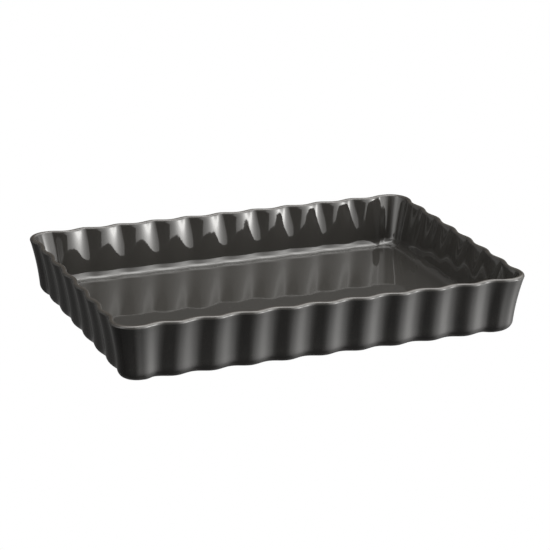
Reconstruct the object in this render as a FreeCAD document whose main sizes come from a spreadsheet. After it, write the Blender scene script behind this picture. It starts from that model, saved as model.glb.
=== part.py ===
import FreeCAD, Part
import Sketcher
import math
import os
from FreeCAD import Vector

# Deep rectangular fluted tart dish in glazed stoneware, millimetres.
# Frame: origin on the table under the middle of the dish, +X along the length,
# +Y across the width, +Z up. Left and right, front and back are mirror images.
#
# Pieces:
#   stoneware_body  fired clay vessel: floor, fluted walls, lip, foot ring
#   glaze_coat      glass coat over the inside, the lip and the outside, down to
#                   the bare foot ring
#   base_glaze      glaze panel on the recessed underside, inside the foot ring

doc = FreeCAD.newDocument("tart_dish")

# --- driving dimensions --------------------------------------------------
SIZES = [
    # alias, value, note
    ("length_all", 335.0, "over the lobes of the lip, along X"),
    ("width_all", 238.0, "over the lobes of the lip, along Y"),
    ("height_all", 47.0, "table to top of lip"),
    ("corner_radius", 15.0, "corner of the mean wall line at the lip"),
    ("corner_radius_min", 3.0, "limit the corner radius shrinks to inwards"),
    ("corner_shrink", 16.0, "inward offset over which the corner tightens"),
    ("base_inset", 7.3, "how far the wall foot stands in from the lip"),
    ("wall_bow", 1.4, "hollow of the flared wall at mid height"),
    ("flute_pitch_long", 29.7, "lobe to lobe on the long sides"),
    ("flute_pitch_short", 29.3, "lobe to lobe on the short sides"),
    ("flute_long_top", 1.7, "flute amplitude, long sides, at the lip"),
    ("flute_long_base", 1.8, "flute amplitude, long sides, at the base"),
    ("flute_short_top", 1.3, "flute amplitude, short sides, at the lip"),
    ("flute_short_base", 0.9, "flute amplitude, short sides, at the base"),
    ("flute_floor_share", 0.37, "share of the flute left at the floor edge"),
    ("flute_fade", 2.1, "power with which the inner flutes fade down to the floor"),
    ("flute_sideways", 4.6, "largest depth that narrows the inner lobes"),
    ("base_round", 8.5, "round between the outer wall and the underside"),
    ("lip_radius", 2.0, "half round on top of the wall"),
    ("inner_lean_high", 13.6, "lean of the inner wall at the lip, degrees"),
    ("inner_lean_mid", 12.7, "lean of the inner wall at mid height, degrees"),
    ("inner_lean_low", 9.6, "lean of the inner wall above the cove, degrees"),
    ("floor_top", 6.6, "height of the inner floor"),
    ("cove_radius", 6.5, "round between the floor and the inner wall"),
    ("glaze_thickness", 0.4, "thickness of the glass coat"),
    ("glaze_stop_angle", 22.0, "where the coat stops on the base round, degrees"),
    ("clay_stop_angle", 14.0, "where the foot ring leaves the base round, degrees"),
    ("foot_slope", 0.7, "run of the slope on the outside of the foot"),
    ("ring_width", 6.0, "width of the flat of the foot ring"),
    ("recess_depth", 1.4, "depth of the underside inside the foot ring"),
    ("recess_radius", 12.0, "corner radius of the recess"),
    ("recess_draft", 40.0, "draft angle of the recess edge, degrees"),
    ("panel_gap", 0.6, "bare line between the panel and the recess edge"),
]
sheet = doc.addObject("Spreadsheet::Sheet", "dims")


def write_rows(rows, first_row):
    for row, (alias, value, note) in enumerate(rows, start=first_row):
        sheet.set(f"A{row}", alias)
        sheet.set(f"B{row}", repr(value))
        sheet.set(f"C{row}", note)
        sheet.setAlias(f"B{row}", alias)
    doc.recompute()


def dim(alias):
    return float(sheet.get(alias))


def angle_dim(alias):
    return math.radians(dim(alias))


write_rows(SIZES, 1)

HEIGHT = dim("height_all")
BASE_INSET = dim("base_inset")
WALL_BOW = dim("wall_bow")
BASE_ROUND = dim("base_round")
LIP_RADIUS = dim("lip_radius")
FLOOR_Z = dim("floor_top")
COVE_RADIUS = dim("cove_radius")
GLAZE = dim("glaze_thickness")

# --- the section through the wall ---------------------------------------
# Offsets are measured from the mean wall line (between lobe and valley) at the
# lip, outwards positive. A slope is offset per height.
LIP_Z = HEIGHT - LIP_RADIUS         # height of the centre of the lip round


def wall_offset(z):
    def flare(share):
        return -BASE_INSET * (1 - share) - WALL_BOW * 4 * share * (1 - share)
    return flare(z / HEIGHT) - flare(LIP_Z / HEIGHT)


def wall_slope(z):
    return (BASE_INSET - WALL_BOW * 4 * (1 - 2 * z / HEIGHT)) / HEIGHT


# The slope of the inner wall is a parabola in height through three leans.
LEANS = [
    # height, alias of the lean
    (45.0, "inner_lean_high"), (27.0, "inner_lean_mid"), (12.0, "inner_lean_low"),
]
LEAN_CURVE = [0.0, 0.0, 0.0]        # coefficients of z^2, z and 1
for i, (z, alias) in enumerate(LEANS):
    z_next, z_last = LEANS[(i + 1) % 3][0], LEANS[(i + 2) % 3][0]
    scale = math.tan(angle_dim(alias)) / ((z - z_next) * (z - z_last))
    LEAN_CURVE[0] += scale
    LEAN_CURVE[1] -= scale * (z_next + z_last)
    LEAN_CURVE[2] += scale * z_next * z_last


def inner_slope(z):
    return LEAN_CURVE[0] * z * z + LEAN_CURVE[1] * z + LEAN_CURVE[2]


def inner_offset(z):
    """Offset of the inner wall, measured down from the end of the lip."""
    def integral(z):
        return LEAN_CURVE[0] * z ** 3 / 3 + LEAN_CURVE[1] * z * z / 2 + LEAN_CURVE[2] * z
    return INNER_TOP_OFFSET - (integral(INNER_TOP_Z) - integral(z))


def tangent_height(radius, slope_of, low):
    """Height where a round of this radius, standing on the plane z = low,
    meets the wall."""
    z = low + radius
    for _ in range(30):
        z = low + radius * (1 - math.sin(math.atan(slope_of(z))))
    return z


# base round: where it meets the outer wall, and its centre
BASE_TANGENT_Z = tangent_height(BASE_ROUND, wall_slope, 0.0)
BASE_LEAN = math.atan(wall_slope(BASE_TANGENT_Z))
BASE_OFFSET = wall_offset(BASE_TANGENT_Z) - BASE_ROUND * math.cos(BASE_LEAN)
# lip round: its centre, and where it meets the inner wall
LIP_LEAN = math.atan(wall_slope(LIP_Z))
LIP_OFFSET = wall_offset(LIP_Z) - LIP_RADIUS * math.cos(LIP_LEAN)
INNER_LEAN = math.atan(inner_slope(LIP_Z))
INNER_TOP_OFFSET = LIP_OFFSET - LIP_RADIUS * math.cos(INNER_LEAN)
INNER_TOP_Z = LIP_Z + LIP_RADIUS * math.sin(INNER_LEAN)
# cove: where it meets the inner wall, and its centre
COVE_TANGENT_Z = tangent_height(COVE_RADIUS, inner_slope, FLOOR_Z)
COVE_LEAN = math.atan(inner_slope(COVE_TANGENT_Z))
COVE_OFFSET = inner_offset(COVE_TANGENT_Z) - COVE_RADIUS * math.cos(COVE_LEAN)

# Section points 0-6 are the base round, 7-12 the outer wall, 13-25 the lip,
# 26-31 the inner wall and 32-39 the cove. The bands between faces end here;
# the lip is split at its middle.
BANDS = [0, 6, 13, 19, 25, 32, 39]
LIP_START = BANDS[2]


def arc_points(centre_offset, centre_z, radius, start, end, count):
    """(offset, z, normal_offset, normal_z) along an arc. A negative radius
    gives a concave round, with its normals towards the centre."""
    points = []
    for i in range(count):
        angle = start + (end - start) * i / (count - 1)
        c, s = math.cos(angle), math.sin(angle)
        points.append((centre_offset + radius * c, centre_z + radius * s, c, s))
    return points


def wall_points(offset_of, slope_of, start_z, end_z, facing):
    """Six points between two heights; facing is 1 outwards, -1 inwards."""
    points = []
    for i in range(1, 7):
        z = start_z + (end_z - start_z) * i / 7
        slope = slope_of(z)
        c = facing / math.sqrt(1 + slope * slope)
        points.append((offset_of(z), z, c, -slope * c))
    return points


def face_profile(start_angle):
    """The glazed face: (offset, z, normal_offset, normal_z, deep) from the base
    round, up the outside, over the lip, down the inside and through the cove to
    the floor. deep is how far a point lies behind the outer wall."""
    points = arc_points(BASE_OFFSET, BASE_ROUND, BASE_ROUND,
                        start_angle - math.pi / 2, -BASE_LEAN, 7)
    points += wall_points(wall_offset, wall_slope, BASE_TANGENT_Z,
                          LIP_Z - LIP_RADIUS * math.sin(LIP_LEAN), 1)
    points += arc_points(LIP_OFFSET, LIP_Z, LIP_RADIUS, -LIP_LEAN, math.pi - INNER_LEAN, 13)
    points += wall_points(inner_offset, inner_slope, INNER_TOP_Z, COVE_TANGENT_Z, -1)
    points += arc_points(COVE_OFFSET, FLOOR_Z + COVE_RADIUS, -COVE_RADIUS,
                         math.pi - COVE_LEAN, math.pi / 2, 8)
    profile = []
    for i, (offset, z, normal_offset, normal_z) in enumerate(points):
        deep = wall_offset(min(z, LIP_Z)) - offset if i >= LIP_START else 0.0
        deep = max(0.0, min(dim("flute_sideways"), deep))
        profile.append((offset, z, normal_offset, normal_z, deep))
    return profile


# --- the fluted outline --------------------------------------------------
PER_FLUTE = 8                   # points to a flute
N_CORNER = 12                   # points from a side's last valley to the diagonal
FLUTES_LONG = 4.5               # pitches from the middle of a side to its last valley
FLUTES_SHORT = 3.0
N_LONG = round(FLUTES_LONG * PER_FLUTE)
N_SHORT = round(FLUTES_SHORT * PER_FLUTE)
QUARTER = N_SHORT + 2 * N_CORNER + N_LONG
CORNER_OFFSET_MAX = 8.0         # offset beyond which the corner radius stops growing

# half sizes of the mean wall line at the lip, made exact below
half_x = dim("length_all") / 2 - dim("flute_short_top")
half_y = dim("width_all") / 2 - dim("flute_long_top")


def corner_at(offset):
    smallest = dim("corner_radius_min")
    growth = math.exp(min(offset, CORNER_OFFSET_MAX) / dim("corner_shrink"))
    return smallest + (dim("corner_radius") - smallest) * growth


def amplitude(side, z, inside):
    """Flute amplitude on the "long" or "short" sides at height z."""
    base = dim(f"flute_{side}_base")
    top = dim(f"flute_{side}_top")
    amp = base + (top - base) * max(0.0, min(1.0, z / HEIGHT))
    if inside:
        # the flutes soften down the inner wall
        rise = max(0.0, min(1.0, (z - FLOOR_Z) / (INNER_TOP_Z - FLOOR_Z)))
        share = dim("flute_floor_share")
        amp *= share + (1 - share) * rise ** dim("flute_fade")
    return amp


def half_side(across, along, radius, pitch, flutes, middle, amp, other_amp, deep):
    """Points (across, along) of one side from its middle to the corner diagonal.
    across and along are the half sizes of the mean line, middle is 1 for a lobe
    in the middle of the side and -1 for a valley."""
    points = []

    def add(across, along, turn, amp, wave, rise):
        c, s = math.cos(turn), math.sin(turn)
        sideways = deep * rise
        points.append((across + amp * (c * wave - s * sideways),
                       along + amp * (s * wave + c * sideways)))

    start = flutes * pitch          # the last valley before the corner
    count = round(flutes * PER_FLUTE)
    for i in range(count):
        place = start * i / count
        phase = 2 * math.pi * place / pitch
        add(across, place, 0.0, amp, middle * math.cos(phase),
            -middle * 2 * math.pi / pitch * math.sin(phase))

    # half of the corner: a straight run, then an eighth of a circle
    run = along - radius - start
    whole = run + radius * math.pi / 4
    for i in range(N_CORNER + 1):
        share = i / N_CORNER
        wave, rise = 1.0, 0.0
        if share < 0.5:
            wave = -math.cos(2 * math.pi * share)
            rise = 2 * math.pi / whole * math.sin(2 * math.pi * share)
        travel = share * whole
        turn = max(0.0, (travel - run) / radius)
        mixed = amp * (1 - 0.5 * share) + other_amp * 0.5 * share
        add(across - radius + radius * math.cos(turn),
            start + min(travel, run) + radius * math.sin(turn), turn, mixed, wave, rise)
    return points


def outline(offset, z, inside, deep=0.0):
    """Closed fluted outline: 9 full lobes on each long side with one in the
    middle, 6 on each short side with a valley in the middle, and one broad lobe
    round each corner. The wall keeps its thickness along the flutes, so behind
    the outer face the lobes are narrower: deep moves each point along the
    outline towards its lobe."""
    mean_x, mean_y = half_x + offset, half_y + offset
    radius = corner_at(offset)
    long_amp = amplitude("long", z, inside)
    short_amp = amplitude("short", z, inside)
    short = half_side(mean_x, mean_y, radius, dim("flute_pitch_short"), FLUTES_SHORT,
                      -1, short_amp, long_amp, deep)
    long = half_side(mean_y, mean_x, radius, dim("flute_pitch_long"), FLUTES_LONG,
                     1, long_amp, short_amp, deep)
    # both halves hold the point on the diagonal, so one of them drops it
    quarter = short + [(x, y) for y, x in long[-2::-1]]
    points = []
    for side_x, side_y in ((1, 1), (-1, 1), (-1, -1), (1, -1)):
        turned = quarter if side_x == side_y else quarter[::-1]
        points += [Vector(side_x * x, side_y * y, z) for x, y in turned[:-1]]
    return points


# set the mean wall line so that the lobes of the lip reach the overall sizes
widest = outline(LIP_OFFSET + LIP_RADIUS, LIP_Z, False)
half_x += dim("length_all") / 2 - max(point.x for point in widest)
half_y += dim("width_all") / 2 - max(point.y for point in widest)

# one common set of knots round all outlines, from the outline at the lip
lip_line = outline(0.0, LIP_Z, False)
AROUND = [0.0]
for point, following in zip(lip_line, lip_line[1:] + lip_line[:1]):
    AROUND.append(AROUND[-1] + (following - point).Length)

# the surfaces are cut along the valleys and at the middle of each corner
marks = list(range(0, N_SHORT + 1, PER_FLUTE)) + [N_SHORT + N_CORNER]
marks += list(range(N_SHORT + 2 * N_CORNER, QUARTER, PER_FLUTE))
cut_points = set()
for n in range(4):
    for mark in marks:
        cut_points.add(n * QUARTER + (QUARTER - mark if n % 2 else mark))
cut_points.add(4 * QUARTER)         # the seam, where the outline closes
CUTS = [AROUND[i] for i in sorted(cut_points)]
SPANS = list(zip(CUTS, CUTS[1:]))


# --- surfaces and solids ---------------------------------------------------
def closed_curve(points):
    curve = Part.BSplineCurve()
    curve.interpolate(Points=points, Parameters=AROUND, PeriodicFlag=True)
    return curve


def skin(outlines):
    """One smooth surface through closed outlines that share their knots.
    Returned with the parameter of each outline."""
    curves = [closed_curve(points) for points in outlines]
    columns = list(zip(*[curve.getPoles() for curve in curves]))
    if len(outlines) == 2:
        up = [0.0, 1.0]
        knots, mults, degree = up, [2, 2], 1
        grid = [list(column) for column in columns]
    else:
        up = [0.0]
        for lower, upper in zip(outlines, outlines[1:]):
            up.append(up[-1] + max((upper[0] - lower[0]).Length, 1e-3))
        grid = []
        for column in columns:
            curve = Part.BSplineCurve()
            curve.interpolate(Points=list(column), Parameters=up)
            grid.append(curve.getPoles())
        knots, mults, degree = curve.getKnots(), curve.getMultiplicities(), curve.Degree
    first = curves[0]
    surface = Part.BSplineSurface()
    surface.buildFromPolesMultsKnots(grid, first.getMultiplicities(), mults,
                                     first.getKnots(), knots, True, False,
                                     first.Degree, degree)
    return surface, up


def flutes(skin_and_up, bands=(0, 1)):
    """The surface as separate faces, one for each span in each band."""
    surface, up = skin_and_up
    faces = []
    for low, high in zip(bands, bands[1:]):
        for start, end in SPANS:
            piece = surface.copy()
            piece.segment(start, end, up[low], up[high])
            faces.append(piece.toShape())
    return faces


def cap(skin_and_up, last):
    """Flat face that closes the first or the last outline of a surface."""
    surface = skin_and_up[0]
    _, _, v_first, v_last = surface.bounds()
    curve = surface.vIso(v_last if last else v_first)
    edges = []
    for start, end in SPANS:
        piece = curve.copy()
        piece.segment(start, end)
        edges.append(piece.toShape())
    return Part.Face(Part.Wire(edges))


def closed_solid(faces):
    shell = Part.makeShell(faces)
    shell.sewShape()
    if shell.ShapeType != "Shell":
        shells = shell.Shells
        if len(shells) != 1:
            raise RuntimeError("the faces did not sew into one shell")
        shell = shells[0]
    solid = Part.makeSolid(shell)
    if solid.Volume < 0:
        solid.reverse()
    if not solid.isValid():
        solid.fix(1e-5, 1e-6, 1e-4)
    return solid


def outlines_of(profile, depth):
    """Outlines of a face that lies this deep under the glazed face."""
    crest = max(range(len(profile)), key=lambda i: profile[i][1])
    return [outline(offset - depth * normal_offset, z - depth * normal_z, i > crest, deep)
            for i, (offset, z, normal_offset, normal_z, deep) in enumerate(profile)]


def add_feature(name, shape):
    feature = doc.addObject("Part::Feature", name)
    feature.Shape = shape
    return feature


# --- stoneware vessel, before its underside is hollowed ------------------
clay_profile = face_profile(angle_dim("clay_stop_angle"))
# offset of the outer edge of the foot at the table
FOOT_OFFSET = clay_profile[0][0] - GLAZE * clay_profile[0][2] - dim("foot_slope")


def vessel_shape():
    clay_outlines = outlines_of(clay_profile, GLAZE)
    clay_skin = skin(clay_outlines)
    foot_skin = skin([outline(FOOT_OFFSET, 0.0, False), clay_outlines[0]])
    return closed_solid([cap(foot_skin, False)] + flutes(foot_skin)
                        + flutes(clay_skin, BANDS) + [cap(clay_skin, True)])


vessel = add_feature("vessel_form", vessel_shape())


# --- glaze coat ------------------------------------------------------------
def coat_shape():
    profile = face_profile(angle_dim("glaze_stop_angle"))
    outer = outlines_of(profile, 0.0)
    under = outlines_of(profile, GLAZE)
    faces = []
    for outlines in (outer, under):
        face_skin = skin(outlines)
        faces += flutes(face_skin, BANDS) + [cap(face_skin, True)]
    # the edge where the coat stops on the base round
    return closed_solid(faces + flutes(skin([under[0], outer[0]])))


glaze = add_feature("glaze_coat", coat_shape())

# --- plain rounded rectangles for the underside ---------------------------
RECESS_NOTE = "half size of the recess at the table plane"
foot_x = half_x + FOOT_OFFSET - dim("flute_short_base") - dim("ring_width")
foot_y = half_y + FOOT_OFFSET - dim("flute_long_base") - dim("ring_width")
write_rows([("foot_inner_half_x", round(foot_x, 3), RECESS_NOTE),
            ("foot_inner_half_y", round(foot_y, 3), RECESS_NOTE)], len(SIZES) + 1)
RECESS_SIZES = ["foot_inner_half_x", "foot_inner_half_y", "recess_radius"]


def xy_plane(body):
    return next(f for f in body.Origin.OriginFeatures if f.Role == "XY_Plane")


def rounded_sketch(body, name, sizes, expressions):
    """Rounded rectangle about the origin. sizes and the expressions that drive
    them are each half size in X, half size in Y and corner radius."""
    half_width, half_depth, radius = sizes
    sketch = body.newObject("Sketcher::SketchObject", name)
    sketch.AttachmentSupport = [(xy_plane(body), "")]
    sketch.MapMode = "FlatFace"
    centres = [Vector(side_x * (half_width - radius), side_y * (half_depth - radius), 0)
               for side_x, side_y in ((1, -1), (1, 1), (-1, 1), (-1, -1))]
    normals = [Vector(0, -1, 0), Vector(1, 0, 0), Vector(0, 1, 0), Vector(-1, 0, 0)]
    # lines 0, 2, 4, 6 are front, right, back, left; each is followed by its arc
    for n in range(4):
        out = normals[n] * radius
        sketch.addGeometry(Part.LineSegment(centres[n - 1] + out, centres[n] + out))
        circle = Part.Circle(centres[n], Vector(0, 0, 1), radius)
        sketch.addGeometry(Part.ArcOfCircle(circle, (n - 1) * math.pi / 2, n * math.pi / 2))

    def constrain(*definition):
        return sketch.addConstraint(Sketcher.Constraint(*definition))

    for n in range(8):
        constrain("Tangent", n, 2, (n + 1) % 8, 1)
    for n in (0, 4):
        constrain("Horizontal", n)
        constrain("Vertical", n + 2)
    constrain("Equal", 1, 3)
    constrain("Equal", 3, 5)
    by_x, by_y, by_radius = expressions
    driven = [
        (constrain("Radius", 1, radius), by_radius),
        (constrain("DistanceX", -1, 1, 2, 1, half_width), by_x),
        (constrain("DistanceX", 6, 1, -1, 1, half_width), by_x),
        (constrain("DistanceY", -1, 1, 4, 1, half_depth), by_y),
        (constrain("DistanceY", 0, 1, -1, 1, half_depth), by_y),
    ]
    for index, expression in driven:
        sketch.setExpression(f"Constraints[{index}]", expression)
    doc.recompute()
    return sketch


def recess_block():
    """The block that is taken out of the vessel under its floor."""
    block = doc.addObject("PartDesign::Body", "recess_form")
    sketch = rounded_sketch(block, "recess_outline", [dim(a) for a in RECESS_SIZES],
                            [f"dims.{a}" for a in RECESS_SIZES])
    pad = block.newObject("PartDesign::Pad", "recess_block")
    pad.Profile = sketch
    pad.setExpression("Length", "dims.recess_depth")
    pad.setExpression("TaperAngle", "-dims.recess_draft")
    block.Tip = pad
    doc.recompute()
    return block


def stoneware_body(block):
    cut = doc.addObject("Part::Cut", "stoneware_body")
    cut.Base = vessel
    cut.Tool = block
    cut.Refine = False
    doc.recompute()
    return cut


def base_panel():
    """Glaze panel on the ceiling of the recess, its lower edge rounded."""
    plate = doc.addObject("PartDesign::Body", "base_glaze")
    draft_run = dim("recess_depth") * math.tan(angle_dim("recess_draft"))
    run_text = "dims.recess_depth * tan(dims.recess_draft * 1deg)"
    sketch = rounded_sketch(
        plate, "panel_outline",
        [dim(a) - draft_run - dim("panel_gap") for a in RECESS_SIZES],
        [f"dims.{a} - {run_text} - dims.panel_gap" for a in RECESS_SIZES])
    pad = plate.newObject("PartDesign::Pad", "panel_sheet")
    pad.Profile = sketch
    pad.setExpression("Length", "dims.glaze_thickness")
    doc.recompute()
    fillet = plate.newObject("PartDesign::Fillet", "panel_edge")
    low_edges = [f"Edge{n}" for n, edge in enumerate(pad.Shape.Edges, start=1)
                 if abs(edge.BoundBox.ZMin) < 1e-6 and abs(edge.BoundBox.ZMax) < 1e-6]
    fillet.Base = (pad, low_edges)
    fillet.setExpression("Radius", "dims.glaze_thickness * 0.5")
    plate.Tip = fillet
    plate.setExpression("Placement.Base.z", "dims.recess_depth - dims.glaze_thickness")
    doc.recompute()
    return plate


recess = recess_block()
body = stoneware_body(recess)
panel = base_panel()

# --- checks, then the files -----------------------------------------------
for obj in doc.Objects:
    if "Invalid" in obj.State or "Error" in obj.State:
        raise RuntimeError(f"{obj.Name} failed: {obj.State}")

PIECES = [body, glaze, panel]
for obj in PIECES:
    shape = obj.Shape
    if shape.isNull() or not shape.isValid() or len(shape.Solids) != 1:
        raise RuntimeError(f"{obj.Label} has no valid single solid")
    if shape.Volume <= 0:
        raise RuntimeError(f"{obj.Label} has no volume")

if vessel.Shape.Volume - body.Shape.Volume <= 0.8 * recess.Shape.Volume:
    raise RuntimeError("the recess took too little out of the vessel")

os.makedirs("parts", exist_ok=True)
for obj in PIECES:
    obj.Shape.exportStep(f"parts/{obj.Label}.step")
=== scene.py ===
# A deep rectangular tart dish of charcoal glazed stoneware: fluted wall, bare foot ring and a
# glazed panel underneath. It stands on z = 0, centred, its long sides along X, its front at -Y.
# Shape functions work in millimetres. An offset is a distance outwards from the mean line of
# the flutes where the outer wall meets the height of the lip's centre.
import math

import bpy
import numpy as np
from mathutils import Matrix, Vector


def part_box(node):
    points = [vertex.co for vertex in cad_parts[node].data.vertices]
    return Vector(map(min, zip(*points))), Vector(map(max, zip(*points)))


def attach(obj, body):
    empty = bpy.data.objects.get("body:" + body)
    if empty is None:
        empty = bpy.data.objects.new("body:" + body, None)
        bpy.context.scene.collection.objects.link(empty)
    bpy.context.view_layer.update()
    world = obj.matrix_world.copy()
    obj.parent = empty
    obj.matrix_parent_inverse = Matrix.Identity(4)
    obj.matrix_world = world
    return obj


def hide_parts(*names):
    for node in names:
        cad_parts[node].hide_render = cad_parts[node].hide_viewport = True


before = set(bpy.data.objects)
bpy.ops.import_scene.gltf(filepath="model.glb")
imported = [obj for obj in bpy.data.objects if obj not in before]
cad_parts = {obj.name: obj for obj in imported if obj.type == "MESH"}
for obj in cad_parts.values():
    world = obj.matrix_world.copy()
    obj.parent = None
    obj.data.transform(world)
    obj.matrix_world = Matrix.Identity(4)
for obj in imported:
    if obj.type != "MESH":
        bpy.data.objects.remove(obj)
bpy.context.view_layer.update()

MM = 0.001
coat_lo, coat_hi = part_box("glaze_coat")

# ---------------------------------------------------------------- driving dimensions
LENGTH = round((coat_hi.x - coat_lo.x) / MM, 0)    # over the lobes of the lip
WIDTH = round((coat_hi.y - coat_lo.y) / MM, 0)
HEIGHT = round(coat_hi.z / MM, 1)
INSET, BOW = 7.3, 1.4                        # outer wall: taper to the base, hollow at mid height
BASE_RADIUS, LIP_RADIUS, COVE_RADIUS = 8.5, 2.0, 6.5
FLOOR_Z = 6.6
GLAZE = 0.4                                  # thickness of the coat

# corner radius of the outline at offset 0, its limit far inwards, and how it fades
CORNER, CORNER_MIN, CORNER_FADE, CORNER_MAX_OFFSET = 15.0, 3.0, 16.0, 8.0

# flutes: pitch, number from the middle of a side to its end, amplitude at top and base
LONG_PITCH, LONG_FLUTES, LONG_TOP, LONG_BASE = 29.7, 4.5, 1.7, 1.8
SHORT_PITCH, SHORT_FLUTES, SHORT_TOP, SHORT_BASE = 29.3, 3.0, 1.3, 0.9
# inner flutes: share of the amplitude left at the floor, and the power of its growth upwards
INNER_SHARE, INNER_POWER = 0.37, 2.1
MAX_BEHIND = 4.6                             # limit on the narrowing of lobes behind the wall

# lean of the inner wall in degrees at three heights, as a quadratic slope
LEAN = np.polyfit([45.0, 27.0, 12.0], np.tan(np.radians([13.6, 12.7, 9.6])), 2)
LEAN_INTEGRAL = np.polyint(LEAN)


# ---------------------------------------------------------------- section of the wall
def taper(z):
    k = z / HEIGHT
    return -INSET * (1 - k) - BOW * 4 * k * (1 - k)


def wall(z):
    """Offset of the outer wall."""
    return taper(z) - taper(HEIGHT - LIP_RADIUS)


def wall_slope(z):
    return (INSET - BOW * 4 * (1 - 2 * z / HEIGHT)) / HEIGHT


def inner_slope(z):
    return float(np.polyval(LEAN, z))


LIP_Z = HEIGHT - LIP_RADIUS                  # centre of the lip's round
LIP_OUT_ANGLE = math.atan(wall_slope(LIP_Z))
LIP_IN_ANGLE = math.atan(np.polyval(LEAN, LIP_Z))
LIP_O = wall(LIP_Z) - LIP_RADIUS * math.cos(LIP_OUT_ANGLE)
INNER_TOP_Z = LIP_Z + LIP_RADIUS * math.sin(LIP_IN_ANGLE)
INNER_TOP_O = LIP_O - LIP_RADIUS * math.cos(LIP_IN_ANGLE)


def inner(z):
    """Offset of the inner wall."""
    return float(INNER_TOP_O - np.polyval(LEAN_INTEGRAL, INNER_TOP_Z) + np.polyval(LEAN_INTEGRAL, z))


def contact(radius, slope_of, low):
    """Height at which a round standing on the level low touches the wall."""
    z = low + radius
    for _ in range(30):
        z = low + radius * (1 - math.sin(math.atan(slope_of(z))))
    return z


WALL_START_Z = contact(BASE_RADIUS, wall_slope, 0.0)
BASE_ANGLE = math.atan(wall_slope(WALL_START_Z))
BASE_O = wall(WALL_START_Z) - BASE_RADIUS * math.cos(BASE_ANGLE)
COVE_START_Z = contact(COVE_RADIUS, inner_slope, FLOOR_Z)
COVE_ANGLE = math.atan(inner_slope(COVE_START_Z))
COVE_O = inner(COVE_START_Z) - COVE_RADIUS * math.cos(COVE_ANGLE)
COVE_Z = FLOOR_Z + COVE_RADIUS


def arc_points(center_o, center_z, radius, start, end, count, extra=0):
    """Points (offset, z, normal offset, normal z); a negative radius makes a hollow round."""
    points = []
    for i in range(count + extra):
        a = start + (end - start) * i / count
        c, s = math.cos(a), math.sin(a)
        points.append((center_o + radius * c, center_z + radius * s, c, s))
    return points


def wall_points(offset_of, slope_of, start_z, end_z, count, side):
    """The same for a wall; side is 1 for the outer face and -1 for the inner."""
    points = []
    for i in range(count):
        z = start_z + (end_z - start_z) * i / count
        slope = slope_of(z)
        c = side / math.sqrt(1 + slope * slope)
        points.append((offset_of(z), z, c, -slope * c))
    return points


def face_profile(start, counts):
    """Section from the base round, this angle above its lowest point, to the floor's edge.
    counts are the steps of the base round, of each wall, of the lip and of the cove."""
    base_count, wall_count, lip_count, cove_count = counts
    wall_end_z = LIP_Z - LIP_RADIUS * math.sin(LIP_OUT_ANGLE)
    return (
        arc_points(BASE_O, BASE_RADIUS, BASE_RADIUS, -math.pi / 2 + start, -BASE_ANGLE, base_count)
        + wall_points(wall, wall_slope, WALL_START_Z, wall_end_z, wall_count, 1)
        + arc_points(LIP_O, LIP_Z, LIP_RADIUS, -LIP_OUT_ANGLE, math.pi - LIP_IN_ANGLE, lip_count)
        + wall_points(inner, inner_slope, INNER_TOP_Z, COVE_START_Z, wall_count, -1)
        + arc_points(COVE_O, COVE_Z, -COVE_RADIUS, math.pi - COVE_ANGLE, math.pi / 2, cove_count,
                     extra=1))


# ---------------------------------------------------------------- outlines
half_size = [LENGTH / 2 - SHORT_TOP, WIDTH / 2 - LONG_TOP]    # of the mean line at offset 0


def amplitudes(z, inside):
    """Flute amplitudes on the long and the short sides."""
    k = min(1.0, max(0.0, z / HEIGHT))
    long_amp = LONG_BASE + (LONG_TOP - LONG_BASE) * k
    short_amp = SHORT_BASE + (SHORT_TOP - SHORT_BASE) * k
    if inside:
        rise = min(1.0, max(0.0, (z - FLOOR_Z) / (INNER_TOP_Z - FLOOR_Z)))
        share = INNER_SHARE + (1 - INNER_SHARE) * rise ** INNER_POWER
        long_amp, short_amp = long_amp * share, short_amp * share
    return long_amp, short_amp


def behind(offset, z):
    """How far a point of the lip or the inside lies behind the outer wall."""
    return max(0.0, min(MAX_BEHIND, wall(min(z, LIP_Z)) - offset))


def half_side(out, along, radius, pitch, flutes, middle, own, other, per, depth):
    """Fluted points, as (outward, sideways), from the middle of a side to the diagonal of the
    corner. out and along are half sizes, middle is 1 for a lobe there and -1 for a groove,
    own and other are the amplitudes of this side and the next."""
    end = flutes * pitch
    count = int(flutes * per)
    place = end * np.arange(count) / count
    phase = 2 * np.pi * place / pitch
    slope = -middle * 2 * np.pi / pitch * np.sin(phase) * own
    straight = np.column_stack([out + middle * np.cos(phase) * own, place + depth * slope])

    # from the last groove a wider lobe rises over the corner
    count = per + per // 2
    part = np.arange(count + 1) / count
    run = along - radius - end
    length = run + radius * np.pi / 4
    travel = part * length
    turn = np.maximum(travel - run, 0) / radius
    c, s = np.cos(turn), np.sin(turn)
    level = travel <= run
    amp = own * (1 - 0.5 * part) + other * 0.5 * part
    height = np.where(part < 0.5, -np.cos(2 * np.pi * part), 1.0) * amp
    slope = np.where(part < 0.5, 2 * np.pi / length * np.sin(2 * np.pi * part), 0.0) * amp
    slide = depth * slope
    corner = np.column_stack([
        np.where(level, out, out - radius + radius * c) + c * height - s * slide,
        np.where(level, end + travel, along - radius + radius * s) + s * height + c * slide])
    return np.concatenate([straight, corner])


def mirrored(quarter, z):
    """Closed outline at height z from its +X +Y quarter, which starts on the X axis."""
    loop = np.concatenate([quarter[:-1], (quarter * [-1, 1])[::-1][:-1],
                           (quarter * [-1, -1])[:-1], (quarter * [1, -1])[::-1][:-1]])
    return np.column_stack([loop, np.full(len(loop), z)])


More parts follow.
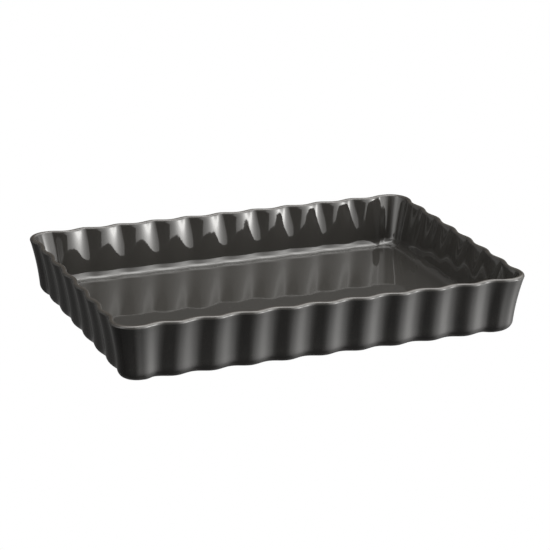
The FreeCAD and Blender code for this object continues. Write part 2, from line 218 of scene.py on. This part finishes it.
def fluted_outline(offset, z, inside, per, depth=0.0):
    """Outline with per points to a flute. At a depth behind the outer face the lobes narrow,
    so that the wall keeps its thickness."""
    half_x, half_y = half_size[0] + offset, half_size[1] + offset
    radius = CORNER_MIN + (CORNER - CORNER_MIN) * math.exp(
        min(offset, CORNER_MAX_OFFSET) / CORNER_FADE)
    long_amp, short_amp = amplitudes(z, inside)
    short_side = half_side(half_x, half_y, radius, SHORT_PITCH, SHORT_FLUTES, -1,
                           short_amp, long_amp, per, depth)
    long_side = half_side(half_y, half_x, radius, LONG_PITCH, LONG_FLUTES, 1,
                          long_amp, short_amp, per, depth)
    return mirrored(np.concatenate([short_side, long_side[:-1][::-1, ::-1]]), z)


# bring the lobes at their widest to the overall size
widest = fluted_outline(LIP_O + LIP_RADIUS, LIP_Z, False, 48)
half_size[0] += LENGTH / 2 - widest[:, 0].max()
half_size[1] += WIDTH / 2 - widest[:, 1].max()

PER = 16                                       # points to a flute
RING_COUNT = len(fluted_outline(0.0, LIP_Z, False, PER))
QUARTER = RING_COUNT // 4
SIDE_Y = 3 * PER + (PER + PER // 2)            # points from a short side's middle to the diagonal
SIDE_X = QUARTER - SIDE_Y


def plain_outline(half_x, half_y, radius, z):
    """Rounded rectangle with the same number of points as a fluted outline."""
    center_x, center_y = half_x - radius, half_y - radius
    count_y, count_x = SIDE_Y - PER, SIDE_X - PER
    points = [(half_x, center_y * i / count_y) for i in range(count_y)]
    for i in range(2 * PER + 1):
        a = math.pi / 2 * i / (2 * PER)
        points.append((center_x + radius * math.cos(a), center_y + radius * math.sin(a)))
    points += [(center_x * i / count_x, half_y) for i in range(count_x - 1, -1, -1)]
    return mirrored(np.array(points), z)


def skin_rows(start, depth, counts):
    """Outlines of the glazed face, or of a face this deep under it."""
    profile = face_profile(start, counts)
    crest = max(range(len(profile)), key=lambda i: profile[i][1])
    lip_start = counts[0] + counts[1]
    return [fluted_outline(o - depth * normal_o, z - depth * normal_z, i > crest, PER,
                           behind(o, z) if i >= lip_start else 0.0)
            for i, (o, z, normal_o, normal_z) in enumerate(profile)]


# ---------------------------------------------------------------- mesh helpers
def grid_cap(loop):
    """Grid that fills a closed outline, its four corners on the diagonals.
    Returns the inner points, and quads that count up as the outline does."""
    n = len(loop)
    back_right, back_left = SIDE_Y, 2 * QUARTER - SIDE_Y
    front_left, front_right = 2 * QUARTER + SIDE_Y, 4 * QUARTER - SIDE_Y
    # left and right run front to back, front and back run left to right
    right = [(front_right + k) % n for k in range((back_right - front_right) % n + 1)]
    back = list(range(back_right, back_left + 1))[::-1]
    left = list(range(back_left, front_left + 1))[::-1]
    front = list(range(front_left, front_right + 1))
    nu, nv = len(front) - 1, len(left) - 1
    F, B, L, R = loop[front], loop[back], loop[left], loop[right]
    u = np.linspace(0, 1, nu + 1)[None, :, None]
    v = np.linspace(0, 1, nv + 1)[:, None, None]
    patch = ((1 - v) * F[None] + v * B[None] + (1 - u) * L[:, None] + u * R[:, None]
             - ((1 - u) * (1 - v) * F[0] + u * (1 - v) * F[-1]
                + (1 - u) * v * B[0] + u * v * B[-1]))
    index = np.full((nv + 1, nu + 1), -1, int)
    index[0, :], index[-1, :], index[:, 0], index[:, -1] = front, back, left, right
    points = patch[1:-1, 1:-1].reshape(-1, 3)
    index[1:-1, 1:-1] = n + np.arange(len(points)).reshape(nv - 1, nu - 1)
    quads = np.stack([index[:-1, :-1], index[:-1, 1:], index[1:, 1:], index[1:, :-1]], -1)
    return points, quads.reshape(-1, 4)


def add_object(name, verts, faces):
    mesh = bpy.data.meshes.new(name)
    mesh.from_pydata(verts, [], faces)
    ob = bpy.data.objects.new(name, mesh)
    bpy.context.scene.collection.objects.link(ob)
    return ob


def loft(name, rows, first_cap, last_cap):
    """Closed smooth mesh through a list of outlines, which run anticlockwise seen from above.
    Each end is closed with a "grid" of quads or with one "face"."""
    n = RING_COUNT
    verts = [np.concatenate(rows)]
    k = np.arange(n)
    k_next = (k + 1) % n
    faces = []
    for j in range(len(rows) - 1):
        a, b = j * n, (j + 1) * n
        faces += np.stack([a + k, a + k_next, b + k_next, b + k], 1).tolist()
    count = len(rows) * n
    for which, cap in ((0, first_cap), (len(rows) - 1, last_cap)):
        base = which * n
        if cap == "face":
            face = list(range(base, base + n))
            faces.append(face[::-1] if which == 0 else face)
            continue
        points, quads = grid_cap(rows[which])
        quads = np.where(quads < n, quads + base, quads - n + count)
        faces += (quads[:, ::-1] if which == 0 else quads).tolist()
        verts.append(points)
        count += len(points)
    ob = add_object(name, (np.concatenate(verts) * MM).tolist(), faces)
    ob.data.polygons.foreach_set("use_smooth", [True] * len(ob.data.polygons))
    ob.data.update()
    return ob


rng = np.random.RandomState(7)


def loop_noise(lowest, highest):
    """Smooth closed noise round the outline, about -1 to 1, of these numbers of waves."""
    t = np.arange(RING_COUNT) / RING_COUNT * 2 * np.pi
    total = np.zeros(RING_COUNT)
    for f in range(lowest, highest):
        wave = rng.normal() * np.cos(f * t + rng.uniform(0, 2 * np.pi))
        total += wave / math.sqrt(highest - lowest)
    return total


def undulate(ob, level, tolerance, amount, reach_x, reach_y, wavelength):
    """Faint unevenness of the fired glaze on a flat face, fading out towards its edge."""
    mesh = ob.data
    co = np.zeros(len(mesh.vertices) * 3)
    mesh.vertices.foreach_get("co", co)
    co = co.reshape(-1, 3) / MM
    x, y, z = co.T
    on_face = (z > level - tolerance) & (z < level + tolerance)
    edge_fade = 14.0
    edge = np.clip(np.minimum(reach_x - np.abs(x), reach_y - np.abs(y)) / edge_fade, 0, 1)
    edge = edge * edge * (3 - 2 * edge)
    wave_count, total_scale = 14, 3.7
    height = np.zeros(len(co))
    for i in range(wave_count):
        a = rng.uniform(0, 2 * np.pi)
        k = 2 * np.pi / (wavelength * rng.uniform(0.7, 2.2))
        phase = rng.uniform(0, 2 * np.pi)
        height += np.sin(k * (x * math.cos(a) + y * math.sin(a)) + phase) / total_scale
    co[:, 2] += np.where(on_face, height * amount * edge, 0.0)
    mesh.vertices.foreach_set("co", (co * MM).ravel())
    mesh.update()


# ---------------------------------------------------------------- glaze coat
COAT_START = math.radians(22)                  # where the coat ends on the base round
COAT_COUNTS = (7, 15, 18, 14)
RUN_HEIGHT = 0.030                             # unevenness of the glaze in the cove
EDGE_DROP, EDGE_WANDER = 0.10, 0.05


def build_coat():
    rows = skin_rows(COAT_START, 0.0, COAT_COUNTS)

    # the glaze runs down and lies a little uneven in the round at the floor
    lifted = skin_rows(COAT_START, -1.0, COAT_COUNTS)
    run_start = COAT_COUNTS[0] + COAT_COUNTS[1] * 2 + COAT_COUNTS[2] - 2
    runs = [loop_noise(6, 34) for _ in range(4)]
    for j in range(run_start, len(rows) - 1):
        u = (j - run_start) / (len(rows) - 1 - run_start)
        amount = math.sin(math.pi * u) ** 0.8 * RUN_HEIGHT
        coarse = runs[0] * math.sin(8.5 * u) + runs[1] * math.cos(8.5 * u)
        fine = runs[2] * math.sin(14.0 * u) + runs[3] * math.cos(14.0 * u)
        rows[j] = rows[j] + (lifted[j] - rows[j]) * (amount * (coarse + 0.5 * fine))[:, None]

    # the lower edge is a soft bead that wanders a little
    under_rows = skin_rows(COAT_START, GLAZE, (4, 5, 8, 5))
    wander = EDGE_WANDER * loop_noise(3, 40)
    bead = rows[0] * 0.55 + under_rows[0] * 0.45
    bead[:, 2] -= EDGE_DROP + wander
    rows[0][:, 2] += wander
    return loft("glaze_coat_fine", under_rows[::-1] + [bead] + rows, "face", "grid")


# ---------------------------------------------------------------- stoneware body
CLAY_START = math.radians(14)
CLAY_COUNTS = (7, 6, 10, 6)
CLAY_GAP = 0.015                               # between the body and the coat
foot_start = face_profile(CLAY_START, CLAY_COUNTS)[0]
FOOT_O = foot_start[0] - GLAZE * foot_start[2] - 0.7
FOOT_WIDTH, FOOT_CORNER = 6.0, 12.0            # of the foot ring's flat and its inner corners
FOOT_IN_X = half_size[0] + FOOT_O - SHORT_BASE - FOOT_WIDTH
FOOT_IN_Y = half_size[1] + FOOT_O - LONG_BASE - FOOT_WIDTH
RECESS = 1.4                                   # depth of the hollow inside the foot ring
RECESS_RUN = RECESS * math.tan(math.radians(40))


def build_clay():
    # (share of the recess's slope, lift in mm), from its top down to the foot ring
    rows = []
    for share, lift in ((1.0, 0.0), (0.95, -0.02), (0.5, 0.0), (0.05, 0.02), (0.0, 0.0)):
        run = RECESS_RUN * share
        rows.append(plain_outline(FOOT_IN_X - run, FOOT_IN_Y - run, FOOT_CORNER - run,
                                  RECESS * share + lift))
    flat_in = plain_outline(FOOT_IN_X, FOOT_IN_Y, FOOT_CORNER, 0.0)
    flat_out = fluted_outline(FOOT_O, 0.0, False, PER)
    for share in (0.12, 0.35, 0.65, 0.88):
        rows.append(flat_in * (1 - share) + flat_out * share)
    rows += [flat_out, fluted_outline(FOOT_O + 0.30, 0.12, False, PER)]
    rows += skin_rows(CLAY_START, GLAZE + CLAY_GAP, CLAY_COUNTS)
    return loft("stoneware_body_fine", rows, "face", "face")


# ---------------------------------------------------------------- glaze panel underneath
PANEL_GAP = 0.6
PANEL_X = FOOT_IN_X - RECESS_RUN - PANEL_GAP
PANEL_Y = FOOT_IN_Y - RECESS_RUN - PANEL_GAP
PANEL_CORNER = FOOT_CORNER - RECESS_RUN - PANEL_GAP
PANEL_Z, PANEL_TOP, PANEL_ROUND = 1.0, 1.392, 0.2
PANEL_WANDER = 0.12


def panel_row(back, z, sway):
    """Outline set back from the panel's edge, which wanders by the noise sway."""
    loop = plain_outline(PANEL_X - back, PANEL_Y - back, PANEL_CORNER - back, z)
    half = [PANEL_X, PANEL_Y]
    out = loop[:, :2] / np.linalg.norm(loop[:, :2] / half, axis=1)[:, None] / half
    shift = (PANEL_WANDER + PANEL_WANDER * sway)[:, None]
    loop[:, :2] -= np.sign(loop[:, :2]) * (np.abs(out) > 0.5) * shift
    return loop


def build_panel():
    sway = loop_noise(6, 70)
    rows = [panel_row(1.6, PANEL_Z + 0.02, sway * 0.4), panel_row(0.8, PANEL_Z, sway * 0.7),
            panel_row(0.35, PANEL_Z, sway)]
    for degrees in (20, 45, 70, 90):
        a = math.radians(degrees)
        rows.append(panel_row(PANEL_ROUND - PANEL_ROUND * math.sin(a),
                              PANEL_Z + PANEL_ROUND - PANEL_ROUND * math.cos(a), sway))
    rows.append(panel_row(0.0, PANEL_TOP, sway))
    return loft("base_glaze_fine", rows, "grid", "face")


coat = build_coat()
clay = build_clay()
loop_noise(20, 160)    # not used: it only moves the random sequence on for what follows
panel = build_panel()
undulate(coat, level=FLOOR_Z, tolerance=0.01, amount=0.035, reach_x=LENGTH / 2 + LIP_O + COVE_O,
         reach_y=WIDTH / 2 + LIP_O + COVE_O, wavelength=42.0)
undulate(panel, level=PANEL_Z, tolerance=0.05, amount=0.05, reach_x=PANEL_X, reach_y=PANEL_Y,
         wavelength=26.0)
for ob in (coat, clay, panel):
    ob.data.set_sharp_from_angle(angle=math.radians(42))


# ---------------------------------------------------------------- materials
class Nodes:
    """Short hand for wiring a node tree. Values may be sockets or constants."""

    def __init__(self, tree):
        self.tree = tree
        tree.nodes.clear()

    def new(self, kind, **props):
        node = self.tree.nodes.new(kind)
        for key, value in props.items():
            setattr(node, key, value)
        return node

    def link(self, value, socket):
        if isinstance(value, bpy.types.NodeSocket):
            self.tree.links.new(value, socket)
        elif value is not None:
            socket.default_value = value

    def fill(self, node, values):
        for key, value in values.items():
            self.link(value, node.inputs[key])
        return node

    def math(self, op, a, b=None):
        return self.fill(self.new("ShaderNodeMath", operation=op), {0: a, 1: b}).outputs[0]

    def add(self, a, b):
        return self.math("ADD", a, b)

    def sub(self, a, b):
        return self.math("SUBTRACT", a, b)

    def mul(self, a, b):
        return self.math("MULTIPLY", a, b)

    def split(self, vector):
        return self.fill(self.new("ShaderNodeSeparateXYZ"), {0: vector}).outputs

    def ramp(self, value, span, to=(0.0, 1.0), smooth=True):
        """Map the span of values onto the range to."""
        kind = "SMOOTHSTEP" if smooth else "LINEAR"
        node = self.new("ShaderNodeMapRange", interpolation_type=kind, clamp=True)
        return self.fill(node, {"Value": value, "From Min": span[0], "From Max": span[1],
                                "To Min": to[0], "To Max": to[1]}).outputs["Result"]

    def noise(self, vector, scale, detail=2.0, rough=0.5):
        return self.fill(self.new("ShaderNodeTexNoise"), {
            "Vector": vector, "Scale": scale, "Detail": detail, "Roughness": rough}).outputs["Fac"]

    def mix(self, fac, a, b):
        node = self.new("ShaderNodeMix", data_type="RGBA")
        return self.fill(node, {0: fac, 6: a, 7: b}).outputs[2]

    def mix_shader(self, fac, a, b):
        return self.fill(self.new("ShaderNodeMixShader"), {0: fac, 1: a, 2: b}).outputs[0]

    def bump(self, height, distance, normal=None):
        return self.fill(self.new("ShaderNodeBump"), {
            "Strength": 1.0, "Distance": distance, "Height": height,
            "Normal": normal}).outputs["Normal"]

    def principled(self, colour, roughness, ior, normal):
        shader = self.fill(self.new("ShaderNodeBsdfPrincipled"), {
            "Base Color": colour, "Roughness": roughness, "IOR": ior, "Normal": normal})
        self.output("Material", shader.outputs[0])
        return shader

    def output(self, kind, shader):
        self.fill(self.new("ShaderNodeOutput" + kind), {0: shader})


def rgb(r, g, b):
    return (r, g, b, 1.0)


def new_material(name):
    mat = bpy.data.materials.new(name)
    mat.use_nodes = True
    return mat, Nodes(mat.node_tree)


GLAZE_IOR, GLARE_IOR_DROP = 1.52, 0.45
DEGREES = 180 / math.pi


def damp_glare(nodes, shader, facing, height):
    """Seen by the camera only: turn down the shine of the dish's flat floor where it would
    mirror the softbox or the overhead strip. Reflections of it keep full shine."""
    view = nodes.split(nodes.new("ShaderNodeNewGeometry").outputs["Incoming"])
    away = nodes.math("ARCTAN2", nodes.mul(view["Y"], -1.0), nodes.mul(view["X"], -1.0))
    away = nodes.mul(away, DEGREES)
    glare = nodes.mul(nodes.ramp(away, span=(-105.0, -75.0)),
                      nodes.ramp(away, span=(-22.0, 0.0), to=(1.0, 0.0)))
    glare = nodes.math("MAXIMUM", glare, nodes.ramp(view["Z"], span=(0.80, 0.95)))
    glare = nodes.mul(glare, nodes.ramp(facing, span=(0.75, 0.95)))
    glare = nodes.mul(glare, nodes.ramp(height, span=(0.015, 0.020), to=(1.0, 0.0)))
    glare = nodes.mul(glare, nodes.new("ShaderNodeLightPath").outputs["Is Camera Ray"])
    ior = nodes.sub(GLAZE_IOR, nodes.mul(glare, GLARE_IOR_DROP))
    nodes.link(ior, shader.inputs["IOR"])


def glaze_material(name, dark, light, roughness, painted_top_light=None):
    """Charcoal glaze, warm where it runs thin over the lip. painted_top_light is a lighter colour
    painted on the glossy glaze where it faces up, as painted light from above; without it the glaze
    is matt."""
    matt = painted_top_light is None
    mat, nodes = new_material(name)
    place = nodes.new("ShaderNodeTexCoord").outputs["Object"]
    height = nodes.split(place)["Z"]
    cloud = nodes.noise(place, scale=38.0, detail=3.0, rough=0.55)
    base = nodes.mix(nodes.ramp(cloud, span=(0.30, 0.72)), dark, light)
    if not matt:
        # painted light: the glaze is painted lighter where the face looks up, standing in for the
        # light from above
        facing = nodes.split(nodes.new("ShaderNodeNewGeometry").outputs["Normal"])["Z"]
        base = nodes.mix(nodes.ramp(facing, span=(-0.12, 0.12)), base, painted_top_light)
    speck = nodes.noise(place, scale=2300.0, detail=1.0)
    dots = nodes.ramp(speck, span=(0.66, 0.74), to=(0.0, 0.45))
    base = nodes.mix(dots, base, rgb(0.045, 0.039, 0.034))

    # thin glaze over the crest of the lip, with a ragged border
    ragged = nodes.sub(nodes.noise(place, scale=160.0, detail=3.0, rough=0.6), 0.5)
    thin = nodes.add(height, nodes.mul(ragged, 0.0012))
    crest = nodes.ramp(thin, span=((HEIGHT - 0.9) * MM, (HEIGHT - 0.05) * MM))
    base = nodes.mix(nodes.mul(crest, 0.6), base, rgb(0.034, 0.029, 0.024))

    # slow swell and orange peel, and a fine tooth on the matt glaze
    normal = nodes.bump(nodes.noise(place, scale=46.0, detail=1.0), distance=0.00010)
    normal = nodes.bump(nodes.noise(place, scale=210.0), distance=0.0000085, normal=normal)
    if matt:
        tooth = nodes.noise(place, scale=1400.0, detail=3.0, rough=0.6)
        normal = nodes.bump(tooth, distance=0.00001, normal=normal)
    fine = nodes.noise(place, scale=900.0, rough=0.6)
    rough = nodes.ramp(fine, span=(0.35, 0.70), to=(roughness * 0.8, roughness * 1.35))
    rough = nodes.add(rough, nodes.mul(crest, 0.05))
    shader = nodes.principled(base, rough, GLAZE_IOR, normal)
    if not matt:
        damp_glare(nodes, shader, facing, height)
    return mat


def clay_material(name):
    """Bare fired stoneware: warm buff, sandy, matt, greyer where it has rubbed."""
    mat, nodes = new_material(name)
    place = nodes.new("ShaderNodeTexCoord").outputs["Object"]
    cloud = nodes.noise(place, scale=55.0, detail=4.0, rough=0.6)
    sand = nodes.noise(place, scale=1500.0, detail=3.0, rough=0.65)
    base = nodes.mix(nodes.ramp(cloud, span=(0.3, 0.7)), rgb(0.44, 0.34, 0.25),
                     rgb(0.56, 0.46, 0.35))
    sandy = nodes.ramp(sand, span=(0.38, 0.66), to=(0.0, 0.5))
    base = nodes.mix(sandy, base, rgb(0.30, 0.22, 0.16))

    # scattered iron spots
    grain = nodes.fill(nodes.new("ShaderNodeTexVoronoi"), {"Vector": place, "Scale": 620.0})
    iron = nodes.ramp(grain.outputs["Distance"], span=(0.10, 0.22), to=(0.75, 0.0))
    rare = nodes.ramp(nodes.noise(place, scale=300.0, detail=1.0), span=(0.54, 0.62))
    base = nodes.mix(nodes.mul(iron, rare), base, rgb(0.10, 0.065, 0.045))

    # rubbed patches on the foot
    rub = nodes.ramp(nodes.split(place)["Z"], span=(0.0, 0.00012), to=(1.0, 0.0))
    patches = nodes.ramp(nodes.noise(place, scale=120.0, detail=3.0), span=(0.4, 0.65),
                         to=(0.0, 0.45))
    base = nodes.mix(nodes.mul(rub, patches), base, rgb(0.33, 0.30, 0.27))

    normal = nodes.bump(sand, distance=0.00008)
    normal = nodes.bump(nodes.noise(place, scale=260.0), distance=0.00006, normal=normal)
    rough = nodes.ramp(sand, span=(0.3, 0.7), to=(0.78, 0.95))
    nodes.principled(base, rough, ior=1.45, normal=normal)
    return mat


# the lighter up-facing colour of this glaze is painted light from above
coat.data.materials.append(glaze_material(
    "charcoal_glaze_mat", dark=rgb(0.0050, 0.0048, 0.0045), light=rgb(0.0075, 0.0071, 0.0066),
    roughness=0.032, painted_top_light=rgb(0.0238, 0.0227, 0.0209)))
panel.data.materials.append(glaze_material(
    "base_glaze_mat", dark=rgb(0.020, 0.019, 0.018), light=rgb(0.034, 0.031, 0.028),
    roughness=0.20))
clay.data.materials.append(clay_material("bare_stoneware_mat"))

for piece, node, slot in ((coat, "glaze_coat", "charcoal_glaze"),
                          (clay, "stoneware_body", "bare_stoneware"),
                          (panel, "base_glaze", "base_glaze")):
    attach(piece, "root")
    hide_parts(node)

# ---------------------------------------------------------------- studio floor
scene = bpy.context.scene
WHITE = rgb(1, 1, 1)
FLOOR_HALF, FLOOR_LEVEL = 6, -0.0002


def build_floor():
    """White to the camera from above, clear from below, and no part of the lighting."""
    corners = ((-1, -1), (1, -1), (1, 1), (-1, 1))
    floor = add_object("studio_floor", [(x * FLOOR_HALF, y * FLOOR_HALF, FLOOR_LEVEL)
                                        for x, y in corners], [(0, 1, 2, 3)])
    mat, nodes = new_material("studio_floor_mat")
    white = nodes.fill(nodes.new("ShaderNodeEmission"), {"Color": WHITE})
    clear = nodes.new("ShaderNodeBsdfTransparent")
    under = nodes.new("ShaderNodeNewGeometry").outputs["Backfacing"]
    nodes.output("Material", nodes.mix_shader(under, white.outputs[0], clear.outputs[0]))
    floor.data.materials.append(mat)
    floor.visible_glossy = False
    floor.visible_diffuse = False
    floor.visible_shadow = False


build_floor()

# ---------------------------------------------------------------- light
# The studio, as light levels seen from the dish: a tall softbox low on the right whose light
# falls off to the left, a small fill on the far left, an overhead strip, and their dim image
# in the table. Each entry is an elevation with its (azimuth, level) pairs, in degrees.
LAYERS = [
    (-90.0, [(-180, 0.1), (180, 0.1)]),
    (-62.0, [(-180, 0.1), (-100, 0.2), (-60, 0.25), (-30, 0.35), (0, 0.4), (25, 0.25), (60, 0.2),
             (180, 0.15)]),
    (-42.0, [(-180, 0.15), (-100, 0.25), (-85, 0.6), (-72, 0.95), (-60, 1.15), (-50, 1.25),
             (-40, 1.35), (-18, 1.5), (0, 1.1), (16, 0.9), (35, 0.4), (60, 0.1), (180, 0.1)]),
    (-28.0, [(-180, 0.1), (-100, 0.35), (-88, 0.7), (-78, 1.2), (-66, 1.6), (-56, 2.0),
             (-42, 2.4), (-20, 3.1), (-10, 2.6), (0, 1.8), (12, 1.0), (30, 0.5), (60, 0.15),
             (180, 0.15)]),
    (-12.0, [(-180, 0.3), (-110, 0.5), (-95, 0.6), (-80, 0.8), (-68, 1.8), (-56, 3.5),
             (-46, 5.0), (-36, 4.0), (-26, 4.0), (-14, 2.5), (0, 1.5), (15, 0.8), (40, 0.3),
             (60, 0.15), (100, 0.1), (180, 0.3)]),
    (0.0, [(-180, 1.5), (-160, 1.5), (-145, 0.3), (-112, 0.1), (-92, 0.9), (-84, 1.4),
           (-76, 1.9), (-70, 2.6), (-62, 3.8), (-57, 5.3), (-50, 8.6), (-45, 12.0), (-41, 17.0),
           (-37, 17.0), (-33, 10.0), (-28, 3.5), (-14, 2.0), (0, 1.5), (30, 0.5), (60, 0.1),
           (120, 0.15), (180, 1.5)]),
    (7.0, [(-180, 2.6), (-162, 3.0), (-150, 1.2), (-138, 0.3), (-112, 0.1), (-96, 0.9),
           (-88, 1.6), (-76, 2.3), (-68, 3.2), (-62, 4.2), (-56, 5.8), (-50, 8.2), (-45, 12.0),
           (-41, 17.0), (-37, 17.0), (-33, 9.0), (-27, 1.8), (-5, 2.0), (8, 1.2), (35, 0.4),
           (60, 0.1), (120, 0.2), (160, 0.8), (180, 2.6)]),
    (12.0, [(-180, 2.6), (-162, 3.2), (-150, 1.8), (-138, 0.4), (-112, 0.1), (-96, 0.8),
            (-90, 1.5), (-84, 2.1), (-76, 2.9), (-66, 4.1), (-57, 5.2), (-50, 6.6), (-44, 8.5),
            (-37, 8.5), (-31, 4.5), (-25, 1.8), (-5, 2.0), (8, 1.2), (35, 0.4), (60, 0.1),
            (120, 0.2), (160, 0.8), (180, 2.6)]),
    (17.0, [(-180, 2.0), (-162, 3.5), (-150, 2.5), (-138, 0.6), (-112, 0.15), (-98, 0.6),
            (-86, 1.5), (-76, 2.4), (-66, 3.4), (-56, 4.2), (-48, 5.2), (-38, 5.2), (-30, 4.0),
            (-22, 1.8), (-5, 1.6), (20, 1.4), (42, 0.6), (58, 0.1), (80, 0.05), (120, 0.1),
            (160, 0.8), (180, 2.0)]),
    (26.0, [(-180, 1.0), (-160, 4.5), (-148, 3.5), (-136, 1.0), (-112, 0.4), (-94, 0.5),
            (-86, 1.6), (-78, 2.8), (-60, 4.0), (-50, 6.0), (-40, 6.0), (-32, 4.0), (-22, 2.5),
            (20, 1.8), (45, 1.2), (56, 0.3), (75, 0.15), (120, 0.2), (150, 0.6), (180, 1.0)]),
    (38.0, [(-180, 0.8), (-150, 0.9), (-110, 0.7), (-92, 0.8), (-82, 2.4), (-68, 3.2),
            (-50, 5.0), (-40, 8.0), (-33, 6.5), (-26, 4.5), (-10, 4.0), (20, 3.6), (40, 2.6),
            (52, 1.2), (65, 0.4), (100, 0.2), (150, 0.6), (180, 0.8)]),
    (52.0, [(-180, 0.8), (-120, 0.8), (-90, 0.7), (-78, 1.6), (-60, 3.4), (-44, 5.5),
            (-32, 5.2), (-22, 4.4), (-10, 4.0), (30, 3.4), (50, 2.0), (80, 0.6), (120, 0.6),
            (180, 0.8)]),
    (66.0, [(-180, 1.5), (-110, 1.4), (-90, 1.4), (-72, 3.4), (-62, 7.0), (-50, 7.5),
            (-40, 6.0), (-20, 5.0), (-5, 3.5), (20, 3.0), (45, 3.0), (70, 2.5), (120, 2.0),
            (180, 1.5)]),
    (76.0, [(-180, 3.0), (-110, 3.4), (-90, 3.8), (-62, 5.8), (-50, 7.0), (-30, 6.0), (0, 5.5),
            (30, 5.5), (60, 5.0), (100, 3.5), (140, 3.0), (180, 3.0)]),
    (90.0, [(-180, 5.0), (180, 5.0)]),
]
# overhead strip: level, shift towards the front, half width, both per unit of height
STRIP_LEVEL, STRIP_SHIFT, STRIP_HALF = 6.0, 0.02, 0.09


def light_layer(nodes, azimuth, points):
    """Light level round the horizon, from (azimuth, level) pairs."""
    top = max(value for _, value in points)
    ramp = nodes.new("ShaderNodeValToRGB")
    elements = ramp.color_ramp.elements
    ramp.color_ramp.interpolation = "LINEAR"
    stops = [((a + 180) / 360, value / top) for a, value in points]
    elements[0].position, elements[1].position = stops[0][0], stops[-1][0]
    for position, _ in stops[1:-1]:
        elements.new(position)
    for element, (position, value) in zip(elements, stops):
        element.position = position
        element.color = rgb(value, value, value)
    nodes.link(nodes.math("DIVIDE", nodes.add(azimuth, 180.0), 360.0), ramp.inputs[0])
    return nodes.mul(ramp.outputs[0], top)


def build_world():
    world = bpy.data.worlds.new("studio")
    scene.world = world
    world.use_nodes = True
    nodes = Nodes(world.node_tree)
    ray = nodes.split(nodes.new("ShaderNodeTexCoord").outputs["Generated"])
    azimuth = nodes.mul(nodes.math("ARCTAN2", ray["Y"], ray["X"]), DEGREES)
    elevation = nodes.mul(nodes.math("ARCSINE", ray["Z"]), DEGREES)

    level = light_layer(nodes, azimuth, LAYERS[0][1])
    for (low, _), (high, points) in zip(LAYERS, LAYERS[1:]):
        t = nodes.ramp(elevation, span=(low, high), smooth=False)
        level = nodes.add(nodes.mul(level, nodes.sub(1.0, t)),
                          nodes.mul(light_layer(nodes, azimuth, points), t))

    def window(value, rise, fall):
        return nodes.mul(nodes.ramp(value, rise), nodes.ramp(value, fall, to=(1.0, 0.0)))

    def darken_past_edge(level, heights, edges, blur, across, upwards, loss):
        """Darken, within a window, what lies left of an edge that leans with elevation."""
        edge = nodes.ramp(elevation, heights, to=edges, smooth=False)
        lit = nodes.ramp(nodes.sub(azimuth, edge), blur)
        zone = nodes.mul(window(azimuth, *across), window(elevation, *upwards))
        dim = nodes.mul(zone, nodes.sub(1.0, lit))
        return nodes.mul(level, nodes.sub(1.0, nodes.mul(dim, loss)))

    # the left edge of the big softbox is straight and leans over to the left
    level = darken_past_edge(
        level, heights=(3.5, 12.0), edges=(-79.5, -96.0), blur=(-1.8, 1.8),
        across=((-130.0, -120.0), (-74.0, -68.0)), upwards=((-9.0, -3.0), (16.0, 24.0)), loss=0.95)
    # and so does its image in the table
    level = darken_past_edge(
        level, heights=(-55.0, -30.0), edges=(-48.0, -78.0), blur=(-10.0, 7.0),
        across=((-120.0, -105.0), (-40.0, -30.0)), upwards=((-80.0, -62.0), (-26.0, -16.0)),
        loss=0.15)

    # a narrow strip light straight over the dish, along its length
    up = nodes.math("MAXIMUM", ray["Z"], 0.001)
    across = nodes.add(nodes.math("DIVIDE", ray["Y"], up), STRIP_SHIFT)
    across = nodes.math("ABSOLUTE", across)
    along = nodes.math("ABSOLUTE", nodes.math("DIVIDE", ray["X"], up))
    strip = nodes.mul(nodes.ramp(across, span=(STRIP_HALF * 0.7, STRIP_HALF), to=(1.0, 0.0)),
                      nodes.ramp(along, span=(0.8, 1.2), to=(1.0, 0.0)))
    strip = nodes.mul(strip, nodes.ramp(ray["Z"], span=(0.2, 0.3)))
    level = nodes.add(level, nodes.mul(strip, STRIP_LEVEL))

    # the camera itself sees plain white
    studio = nodes.fill(nodes.new("ShaderNodeBackground"), {
        "Strength": level, "Color": rgb(1.0, 0.99, 0.97)})
    seen = nodes.fill(nodes.new("ShaderNodeBackground"), {"Strength": 1.0, "Color": WHITE})
    camera_ray = nodes.new("ShaderNodeLightPath").outputs["Is Camera Ray"]
    nodes.output("World", nodes.mix_shader(camera_ray, studio.outputs[0], seen.outputs[0]))


build_world()

# ---------------------------------------------------------------- camera
# the camera stands in front and a little to the left, turned slightly about its own axis
AZIMUTH, ELEVATION, ROLL = (math.radians(a) for a in (-22.2329, 18.9919, 0.6903))
DISTANCE = 1.7770919
TARGET = Vector((0.0073816, 0.0118124, 0.025))


def build_camera():
    back = Vector((math.sin(AZIMUTH) * math.cos(ELEVATION),
                   -math.cos(AZIMUTH) * math.cos(ELEVATION), math.sin(ELEVATION)))
    right = (-back).cross(Vector((0, 0, 1))).normalized()
    up = right.cross(-back)
    rolled_right = right * math.cos(ROLL) + up * math.sin(ROLL)
    rolled_up = up * math.cos(ROLL) - right * math.sin(ROLL)
    data = bpy.data.cameras.new("camera")
    data.sensor_width = 36.0
    data.lens = 145.98826036
    data.clip_start, data.clip_end = 0.05, 50.0
    camera = bpy.data.objects.new("camera", data)
    turn = Matrix((rolled_right, rolled_up, back)).transposed().to_4x4()
    camera.matrix_world = Matrix.Translation(TARGET + back * DISTANCE) @ turn
    scene.collection.objects.link(camera)
    scene.camera = camera


build_camera()
scene.view_settings.view_transform = "Standard"
scene.cycles.use_denoising = True
scene.cycles.max_bounces = 8
scene.cycles.glossy_bounces = 6
